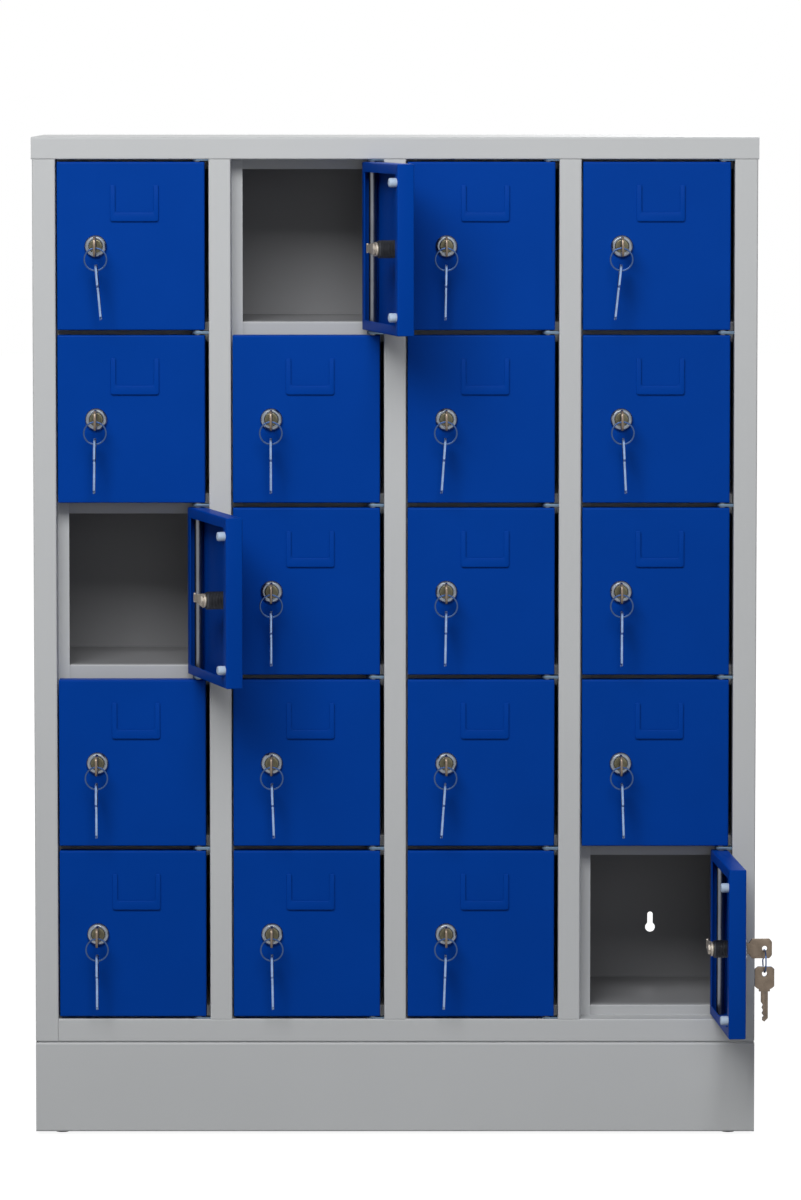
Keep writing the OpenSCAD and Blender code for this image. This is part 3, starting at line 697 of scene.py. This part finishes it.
def housingMesh(size):
    bore, head, rim = size["bore"] / 2, size["headDiameter"] / 2, size["headHeight"]
    barrel, neck = size["barrelDiameter"] / 2, size["neckEnd"]
    core = barrel - size["threadDepth"]
    cut, gap, end = size["rimChamfer"], size["seatGap"], size["barrelEnd"]
    endEdge, headEdge, soft, drop = size["barrelEdge"], size["headEdge"], size["rimSoft"], size["rimDrop"]
    body = lathe("housing", [
        (bore, end), (core - endEdge, end), (core, end + endEdge), (core, neck), (barrel, neck),
        (barrel, gap), (head - headEdge, gap), (head, gap + headEdge), (head, rim - cut - soft),
        (head - drop, rim - cut), (head - cut, rim - drop), (head - cut - soft, rim), (head - cut - 1, rim),
    ] + [(bore + away, rim - deep) for away, deep in size["boreEdge"]], 64)
    thread = threadMesh(barrel, size["threadDepth"], size["threadPitch"], end + size["threadFromEnd"],
                        neck - size["threadFromNeck"] - size["threadDepth"], 24)
    nut = chamferedHex("nut", size["nutAcross"], size["nutHeight"], size["nutChamfer"], 2 * barrel + 2 * gap)
    nut = moved(nut, shift(z=size["nutFrom"]))
    return joined("housing", [numberedBehind(body, 0.0, 0, 1), numbered(thread, 1), numbered(nut, 1)])


housingTemplate = finishTemplate(moved(housingMesh(lockSize), lockSpace), lockNickel, barrelZincShade)
print("lock housing", len(housingTemplate.polygons), "faces")


def plugMesh(size):
    plug, tail, rim = size["plugDiameter"] / 2, size["tailDiameter"] / 2, size["headHeight"]
    back = size["camBack"]
    edge = [(plug - inset, rim - deep) for inset, deep in size["plugEdge"]]
    body = lathe("plug", [
        (0, back), (tail, back), (tail, size["camFace"]), (plug, size["camFace"]), *edge, (0, rim),
    ], 48)
    w, h, r = size["keywayWidth"] / 2, size["keywayHeight"] / 2, size["keywayRound"]
    keyway = plate("keyway", roundedOutline([(-w, -h, r), (w, -h, r), (w, h, r), (-w, h, r)], 2),
                   rim - size["keywayDepth"], rim + 1)
    return cutAway(body, keyway)


def camMesh(size):
    half, length, corner = size["camWidth"] / 2, size["camLength"], size["camCorner"]
    back, hole, r = size["camBack"], size["tailDiameter"] / 2 + size["seatGap"], size["camRound"]
    outline = arcPoints(half, range(90, 271, 10))
    outline += roundedOutline([(length - corner, -half, r), (length, corner - half, r),
                               (length, half - corner, r), (length - corner, half, r)], 3)
    arm = bevelled(plate("cam", outline, back, back + size["camThickness"]), size["camEdge"], 2, 50)
    return cutAway(arm, disc("tailHole", hole, back - 1, size["camFace"] + 1))


def camScrewMesh(size):
    top, height = size["camBack"] - size["seatGap"], size["screwHeight"]
    radius, thick, edge = size["screwAcross"] / 2, size["washerHeight"], size["washerEdge"]
    head = chamferedHex("screw", size["screwAcross"], height - thick, size["screwChamfer"])
    washer = lathe("washer", [(0, -thick), (radius - edge, -thick), (radius, edge - thick), (radius, -edge),
                              (radius - edge, 0), (0, 0)], 32)
    return joined("camScrew", [moved(head, shift(z=top - height)), moved(washer, shift(z=top))])


plugTemplate = finishTemplate(moved(joined("plugTemplate", [
    numbered(plugMesh(lockSize), 0), numbered(camMesh(lockSize), 1), numbered(camScrewMesh(lockSize), 1),
]), lockSpace), plugBronze, camZinc)
print("lock plug", len(plugTemplate.polygons), "faces")


# ---- keys: two alike, on a split ring; a key lies along X with its hole at the origin
keySize = {
    "thickness": 2.2, "bladeHeight": 7.0, "bladeLength": 30.0, "neckLength": 2.5, "neckHeight": 11.0,
    "bowLength": 22.5, "bowHeight": 19.5, "bowRound": 12.9, "holeFromEnd": 7.3, "hole": 5.2,
    "edge": 0.25, "shoulderGap": 0.5,
    "grooveDepth": 0.45, "grooveHeight": 1.3, "grooveFromNeck": 0.5,
    "grooveLow": (1.1, 0.2),  # the groove's lower side on each face, above the middle of the blade
    # the teeth, as a place along the blade and a height, in fifths of the blade's height
    "teeth": [(1, 1), (3, 1), (4, 2), (6, 0.6), (8, 1.6), (10, 0.6), (12, 1.4), (14, 0)],
}
ringSize = {
    "radius": 11.0, "wire": 1.8, "turns": 2.0, "play": 0.2,
    "wide": 0.86, "high": 0.94,  # the wire's section as shares of its room
}


def keyOutline(size):
    bow, high, reach = size["bowLength"] / 2, size["bowHeight"] / 2, size["bowRound"]
    neck, blade = size["neckHeight"] / 2, size["bladeHeight"]
    shoulder = -size["neckLength"]
    tip = shoulder - size["bladeLength"]
    # the circle rounds off the corners of the bow's rectangle
    low, top = math.acos(bow / reach), math.asin(high / reach)
    corner = [low + (top - low) * k / 8 for k in range(9)]
    half = [(bow + reach * math.cos(a), reach * math.sin(a)) for a in corner]
    half += [(bow - reach * math.cos(a), reach * math.sin(a)) for a in reversed(corner)]
    half += [(0.0, neck), (shoulder, neck)]
    fifth = blade / 5
    line = [(shoulder, blade / 2), (tip + blade / 2, blade / 2), (tip, 0.0)]
    line += [(tip + fifth * along, fifth * up - blade / 2) for along, up in size["teeth"]]
    line += [(shoulder, -blade / 2)]
    points = half + line + [(x, -y) for x, y in reversed(half)]
    return [(x + size["holeFromEnd"] - size["bowLength"], y) for x, y in points]


def keyMesh(size):
    half = size["thickness"] / 2
    mesh = plate("key", keyOutline(size), -half, half)
    holeX = size["bowLength"] - size["holeFromEnd"]
    tools = [disc("keyHole", size["hole"] / 2, -3, 3)]
    # milled grooves along the blade, one on each face
    tip = -holeX - size["neckLength"] - size["bladeLength"]
    end, depth = -holeX - size["neckLength"] - size["grooveFromNeck"], half - size["grooveDepth"]
    for s, y in zip((1, -1), size["grooveLow"]):
        low, high = sorted((s * depth, s * 3))
        tools.append(block("groove", (tip - 1, y, low), (end, y + size["grooveHeight"], high)))
    mesh = cutAway(mesh, joined("keyTools", tools))
    mesh = bevelled(mesh, size["edge"], 2, 50)
    for face in mesh.polygons:  # the cut edges are brighter than the faces
        face.material_index = 0 if abs(face.normal.z) > 0.7 else 1
    return moved(mesh, turnX)


def ringTree():
    tree, given, sockets = startTree("splitRing", {
        "Turns": 2.0, "Radius": 12.0, "Wire Height": 1.0, "Wire Width": 2.0, "Fill": 0.94, "Steps": 48,
        "Round": 0.3})
    rise = mathNode(tree, "MULTIPLY", given["Wire Height"], mathNode(tree, "SUBTRACT", given["Turns"], 1.0))
    line = addNode(tree, "GeometryNodeCurveSpiral", {
        "Resolution": given["Steps"], "Rotations": given["Turns"], "Start Radius": given["Radius"],
        "End Radius": given["Radius"], "Height": rise})
    upright = addNode(tree, "GeometryNodeSetCurveNormal", {"Curve": line.outputs[0]}, mode="Z_UP")
    shape = addNode(tree, "GeometryNodeCurvePrimitiveQuadrilateral", {
        "Width": given["Wire Width"],
        "Height": mathNode(tree, "MULTIPLY", given["Wire Height"], given["Fill"])})
    rounded = addNode(tree, "GeometryNodeFilletCurve", {
        "Curve": shape.outputs[0], "Radius": given["Round"], "Count": 2}, mode="POLY")
    solid = addNode(tree, "GeometryNodeCurveToMesh", {
        "Curve": upright.outputs[0], "Profile Curve": rounded.outputs[0], "Fill Caps": True})
    endTree(tree, given, solid.outputs[0])
    return tree, sockets


rings, ringSockets = ringTree()


def ringMesh(size):
    wire = size["wire"] / size["turns"]
    mesh = grown("ring", rings, ringSockets, {
        "Turns": size["turns"], "Radius": size["radius"], "Wire Height": wire,
        "Wire Width": size["wire"] * size["wide"], "Fill": size["high"]}, ringSteelBlueShade)
    return moved(mesh, shift(z=-wire * (size["turns"] - 1) / 2))


keyTemplate = keyMesh(keySize)
ringTemplate = ringMesh(ringSize)
keyHoleOut = (lockSize["headHeight"] + keySize["shoulderGap"] + keySize["neckLength"]
              + keySize["bowLength"] - keySize["holeFromEnd"])
hang = (keySize["hole"] - ringSize["wire"]) / 2 - ringSize["play"]
keyHole = shift(lockAxisX, -panSize["pivotBack"] - keyHoleOut)
keysOut = ["r1c2", "r3c1"]  # doors that stand open without their keys
keyTilt = {  # how far each spare key has swung, in degrees
    "r1c1": 5, "r1c3": -1, "r1c4": -6, "r2c1": -1, "r2c3": -4, "r2c4": 3,
    "r3c3": -1, "r4c2": 2, "r4c3": -4, "r4c4": 2, "r5c2": 1, "r5c3": -2,
}


def keysMesh(tilt):
    inLock = moved(keyTemplate.copy(), keyHole @ Matrix.Rotation(-math.pi / 2, 4, "Z"))
    swing = keyHole @ shift(z=-hang) @ Matrix.Rotation(math.radians(-tilt), 4, "Y")
    ring = moved(ringTemplate.copy(), swing @ shift(z=-ringSize["radius"]) @ turnX)
    downward = Matrix.Rotation(-math.pi / 2, 4, "Y") @ turnX
    spare = moved(keyTemplate.copy(), swing @ shift(z=-2 * ringSize["radius"] - hang) @ downward)
    mesh = joined("keys", [numbered(inLock, 0), spare, numbered(ring, 2)])
    return finishTemplate(mesh, keyFace, keyEdgeBlueReflection, ringSteelBlueShade)


for cell in cells:
    door, lock, place = "door_" + cell, "lock_" + cell, doorPlace[cell] @ mm
    placed("pan_" + cell, panTemplate, place, door, "door_paint", door)
    placed("housing_" + cell, housingTemplate, place, door, "lock_metal", door)
    placed("bumpers_" + cell, bumperTemplate, place, door, None, door)
    placed("plug_" + cell, plugTemplate, place, lock, "lock_metal", lock)
    if cell not in keysOut:
        placed("keys_" + cell, keysMesh(keyTilt.get(cell, 0)), place, lock, "lock_metal", lock)
print("doors and locks placed")

# ---- hinge tabs, which hold the rods in the gaps between the doors
tabSize = {"thickness": 3.0, "end": 6.0, "hole": 8.1, "edge": 0.3}


def copiesAt(tree, given, spots, rotation=None):
    piece = addNode(tree, "GeometryNodeObjectInfo", {"Object": given["Piece"]})
    inputs = {"Points": spots, "Instance": piece.outputs["Geometry"]}
    if rotation:
        inputs["Rotation"] = rotation
    return addNode(tree, "GeometryNodeInstanceOnPoints", inputs).outputs[0]


def gridTree():
    # copies of one piece in columns and rows, on the plane of X and Z
    tree, given, sockets = startTree("tabRows", {
        "Columns": 4, "Column Pitch": 174.0, "Rows": 4, "Row Pitch": 172.0}, ["Piece"])
    across = addNode(tree, "GeometryNodeMeshLine", {
        "Count": given["Columns"], "Offset": combined(tree, x=given["Column Pitch"])})
    upward = addNode(tree, "GeometryNodeMeshLine", {
        "Count": given["Rows"], "Offset": combined(tree, z=given["Row Pitch"])})
    lines = addNode(tree, "GeometryNodeInstanceOnPoints", {
        "Points": across.outputs[0], "Instance": upward.outputs[0]})
    spots = addNode(tree, "GeometryNodeRealizeInstances", {"Geometry": lines.outputs[0]})
    endTree(tree, given, copiesAt(tree, given, spots.outputs[0]))
    return tree, sockets


def repeated(name, tree, sockets, values, template, material):
    source = newObject(name + "Source", ownPlaces(smoothMesh(template)))
    mesh = grown(name, tree, sockets, {**values, "Piece": source}, material)
    bpy.data.objects.remove(source)
    bpy.data.meshes.remove(template)
    return mesh


def tabMesh(size, thickness, reach):
    end = size["end"]
    outline = arcPoints(end, range(90, 271, 9)) + [(reach, -end), (reach, end)]
    mesh = bevelled(plate("tab", outline, -thickness / 2, thickness / 2), size["edge"], 2, 50)
    return cutAway(mesh, disc("rodHole", size["hole"] / 2, -thickness, thickness, 48))


def tabsMesh(size):
    low, high = (corner * 1000 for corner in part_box("hinge_tabs"))
    pivots = sorted({round(place.translation.x * 1000, 3) for place in doorPlace.values()})
    levels = sorted({round(place.translation.z * 1000, 3) for place in doorPlace.values()})
    reach, thick = high.x - pivots[-1], size["thickness"]
    pitch = levels[1] - levels[0]
    tree, sockets = gridTree()
    columns = {"Columns": len(pivots), "Column Pitch": pivots[1] - pivots[0]}
    inner = {**columns, "Rows": len(levels) - 1, "Row Pitch": pitch}
    outer = {**columns, "Rows": 2, "Row Pitch": high.z - low.z - thick / 2}
    between = repeated("tabsBetween", tree, sockets, inner, tabMesh(size, thick, reach), tabSteelBlueShade)
    atEnds = repeated("tabsAtEnds", tree, sockets, outer, tabMesh(size, thick / 2, reach), tabSteelBlueShade)
    moved(between, shift(z=levels[0] + pitch / 2))
    moved(atEnds, shift(z=low.z + thick / 4))
    return painted(moved(joined("hingeTabs", [between, atEnds]), shift(pivots[0], firstPivot.y)), tabSteelBlueShade)


placed("hingeTabs", tabsMesh(tabSize), mm, "cabinet", "zinc", "hinge_tabs")

# ---- feet, bolts and nuts under the cabinet, each at the four corners
footSize = {
    "pad": 16.0, "padHeight": 4.0, "edge": 0.4, "topEdge": 0.6, "stud": 8.0, "studLength": 24.0, "sunk": 1.0,
    "threadDepth": 0.6, "threadPitch": 1.25, "ribs": 24, "ribDepth": 0.5, "ribWidth": 0.9, "ribRoot": 1.0,
    "ribFrom": 0.3, "ribBelowTop": 0.8, "ribEdge": 0.2, "nutAcross": 13.0, "nutHeight": 6.5,
    "chamfer": 0.95, "play": 0.05,
}
boltSize = {
    "diameter": 6.0, "threadDepth": 0.5, "threadPitch": 1.0, "across": 10.0, "headHeight": 4.0,
    "nutHeight": 5.0, "chamfer": 0.95, "sunk": 0.5, "play": 0.05,
}


def cornerTree():
    tree, given, sockets = startTree("fourCorners", {"Width": 670.0, "Depth": 150.0}, ["Piece"])
    spots = addNode(tree, "GeometryNodeMeshGrid", {
        "Size X": given["Width"], "Size Y": given["Depth"], "Vertices X": 2, "Vertices Y": 2})
    endTree(tree, given, copiesAt(tree, given, spots.outputs[0]))
    return tree, sockets


def ribTree():
    # copies of one rib round Z, each facing outward
    tree, given, sockets = startTree("ribsRound", {"Count": 24, "Radius": 8.0}, ["Piece"])
    spots = addNode(tree, "GeometryNodeMeshCircle", {"Vertices": given["Count"], "Radius": given["Radius"]})
    outward = addNode(tree, "FunctionNodeAlignRotationToVector", {
        "Vector": addNode(tree, "GeometryNodeInputPosition").outputs[0]}, axis="X", pivot_axis="Z")
    endTree(tree, given, copiesAt(tree, given, spots.outputs[0], outward.outputs[0]))
    return tree, sockets


def studMesh(diameter, depth, pitch, low, high, foot=(0.3, 0.4), tip=0.6, clear=0.4):
    core = diameter / 2 - depth
    rod = lathe("stud", [(0, low), (core - foot[0], low), (core, low + foot[1]), (core, high - tip),
                         (core - tip, high), (0, high)], 32)
    return joined("stud", [rod, threadMesh(diameter / 2, depth, pitch, low + depth, high - clear - depth)])


def footPadMesh(size):
    radius, high = size["pad"] / 2 - size["ribDepth"], size["padHeight"]
    edge, top, wide = size["edge"], size["topEdge"], size["ribWidth"] / 2
    pad = lathe("pad", [(0, 0), (radius - edge, 0), (radius, edge), (radius, high - top),
                        (radius - top, high), (0, high)], 48)
    rib = block("rib", (-size["ribRoot"], -wide, size["ribFrom"]),
                (size["ribDepth"], wide, high - size["ribBelowTop"]))
    rib = bevelled(rib, size["ribEdge"], 2, 50)
    tree, sockets = ribTree()
    ribs = repeated("ribs", tree, sockets, {"Count": size["ribs"], "Radius": radius}, rib, blackPlastic)
    return joined("footPad", [pad, ribs])


corners, cornerSockets = cornerTree()


def atCorners(name, node, template, material, slotName, halfX, halfY):
    # halfX and halfY: from the axis of one copy to the outermost side of the frame's node
    low, high = (corner * 1000 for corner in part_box(node))
    mesh = repeated(name, corners, cornerSockets, {
        "Width": high.x - low.x - 2 * halfX, "Depth": high.y - low.y - 2 * halfY}, template, material)
    placed(name, mesh, mm @ shift(z=low.z), "cabinet", slotName, node)


def makeHardware(foot, bolt):
    pad, padTop = foot["pad"] / 2, foot["padHeight"]
    corner = 0.5 / math.cos(math.radians(30))  # axis to corner of a hexagon, for a width of 1 across
    atCorners("footPads", "levelling_feet", footPadMesh(foot), blackPlastic, "foot_plastic", pad, pad)
    studTop = padTop + foot["studLength"]
    stud = studMesh(foot["stud"], foot["threadDepth"], foot["threadPitch"], padTop - foot["sunk"], studTop)
    atCorners("footStuds", "levelling_feet", stud, zincPlate, "zinc", pad, pad)
    wide = foot["nutAcross"]
    nut = chamferedHex("nut", wide, foot["nutHeight"], foot["chamfer"], foot["stud"] + 2 * foot["play"])
    atCorners("footNuts", "foot_nuts", nut, zincPlate, "zinc", wide * corner, wide / 2)
    low, high = (end.z * 1000 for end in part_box("cabinet_bolts"))
    wide, under = bolt["across"], high - low - bolt["headHeight"]
    head = moved(chamferedHex("head", wide, bolt["headHeight"], bolt["chamfer"]), shift(z=under))
    shank = studMesh(bolt["diameter"], bolt["threadDepth"], bolt["threadPitch"], 0, under + bolt["sunk"])
    wholeBolt = joined("bolt", [shank, head])
    atCorners("cabinetBolts", "cabinet_bolts", wholeBolt, zincPlate, "zinc", wide * corner, wide / 2)
    hole = bolt["diameter"] + 2 * bolt["play"]
    nut = chamferedHex("nut", wide, bolt["nutHeight"], bolt["chamfer"], hole)
    atCorners("cabinetNuts", "cabinet_nuts", nut, zincPlate, "zinc", wide * corner, wide / 2)


makeHardware(footSize, boltSize)
print("hinge tabs, feet, bolts and nuts placed")

# ---- cabinet nodes that keep their shape
cadFinish = {
    bodyPaint: ["lid", "left_side_panel", "right_side_panel", "back_panel", "base_plate", "bottom_rail",
                "floor_panel", "mid_posts", "partitions", "shelves", "plinth_front", "plinth_rear",
                "plinth_ends", "plinth_frame"],
    rodSteelShade: ["hinge_rods"],
}
for material, names in cadFinish.items():
    for name in names:
        node = frame["nodes"][name]
        node.data.materials.clear()
        node.data.materials.append(material)

# ---- floor, light and camera
studio = {
    "floorSize": 30.0, "floorColour": (0.30, 0.30, 0.30, 1.0), "floorRoughness": 0.9,
    "glowNear": 0.93, "glowFar": 1.0, "glowFrom": 0.5, "glowTo": 1.6,  # from and to are in metres
    "worldLight": 0.03, "worldColour": (0.97, 0.98, 1.0, 1.0),
    "aim": (0.0, 0.0, 0.5),
    "lamps": [  # name, place, width, height, power, colour
        ("softbox", (-0.5, -2.5, 2.55), 2.4, 1.3, 88.0, (0.99, 0.995, 1.0)),
        ("fill", (1.0, -5.0, 1.2), 2.0, 1.6, 10.0, (0.97, 0.985, 1.0)),
        ("backLight", (1.2, 3.2, 2.6), 2.0, 1.3, 60.0, (0.99, 0.995, 1.0)),
    ],
}


def seenDirectly(tree):
    # 1 for what the camera, metal and glass see, 0 for the light that falls on things
    path = addNode(tree, "ShaderNodeLightPath").outputs
    either = mathNode(tree, "MAXIMUM", path["Is Camera Ray"], path["Is Glossy Ray"])
    return mathNode(tree, "MAXIMUM", either, path["Is Transmission Ray"])


def makeStudio(values):
    half = values["floorSize"] / 2
    mesh = bpy.data.meshes.new("floor")
    corners = [(-half, -half, 0), (half, -half, 0), (half, half, 0), (-half, half, 0)]
    mesh.from_pydata(corners, [], [(0, 1, 2, 3)])
    floor = newObject("floor", mesh)
    material = bpy.data.materials.new("floorWhite")
    material.use_nodes = True
    tree = material.node_tree
    shader = tree.nodes["Principled BSDF"]
    shader.inputs["Base Color"].default_value = values["floorColour"]
    shader.inputs["Roughness"].default_value = values["floorRoughness"]
    shader.inputs["Specular IOR Level"].default_value = 0.0
    shader.inputs["Emission Color"].default_value = (1, 1, 1, 1)
    away = addNode(tree, "ShaderNodeVectorMath", {0: addNode(tree, "ShaderNodeTexCoord").outputs["Object"]},
                   operation="LENGTH").outputs["Value"]
    white = rangeOf(tree, away, values["glowNear"], values["glowFar"], values["glowFrom"], values["glowTo"])
    glow = mathNode(tree, "MULTIPLY", seenDirectly(tree), white)
    tree.links.new(glow, shader.inputs["Emission Strength"])
    mesh.materials.append(material)

    world = bpy.data.worlds.new("studio")
    scene.world = world
    world.use_nodes = True
    tree = world.node_tree
    tree.nodes.clear()
    soft = addNode(tree, "ShaderNodeBackground", {
        "Color": values["worldColour"], "Strength": values["worldLight"]})
    white = addNode(tree, "ShaderNodeBackground", {"Color": (1, 1, 1, 1), "Strength": 1.0})
    mix = addNode(tree, "ShaderNodeMixShader", {
        "Fac": seenDirectly(tree), 1: soft.outputs[0], 2: white.outputs[0]})
    addNode(tree, "ShaderNodeOutputWorld", {"Surface": mix.outputs[0]})

    for name, place, width, height, power, colour in values["lamps"]:
        lamp = bpy.data.lights.new(name, "AREA")
        lamp.shape, lamp.size, lamp.size_y = "RECTANGLE", width, height
        lamp.energy, lamp.color = power, colour
        holder = bpy.data.objects.new(name, lamp)
        scene.collection.objects.link(holder)
        holder.location = place
        toward = Vector(values["aim"]) - Vector(place)
        holder.rotation_euler = toward.to_track_quat("-Z", "Y").to_euler()


makeStudio(studio)

# where the photograph was taken from: place in metres, pitch in degrees, and focal length and the row
# of the optical axis in pixels of a picture 801 by 1200
cameraFit = {
    "x": 0.00539, "y": -5.5836, "z": 1.0679, "pitchDown": 4.0146, "focal": 5527.5, "axisRow": 456.3,
}


def makeCamera(fit, pictureHeight=1200.0):
    data = bpy.data.cameras.new("camera")
    data.sensor_width = 36.0
    data.lens = fit["focal"] * data.sensor_width / pictureHeight
    data.shift_y = (fit["axisRow"] - pictureHeight / 2) / pictureHeight
    data.clip_end = 100.0
    camera = bpy.data.objects.new("camera", data)
    scene.collection.objects.link(camera)
    camera.location = (fit["x"], fit["y"], fit["z"])
    camera.rotation_euler = (math.radians(90 - fit["pitchDown"]), 0, 0)
    scene.camera = camera


makeCamera(cameraFit)
scene.view_settings.view_transform = "Standard"
print("studio ready")
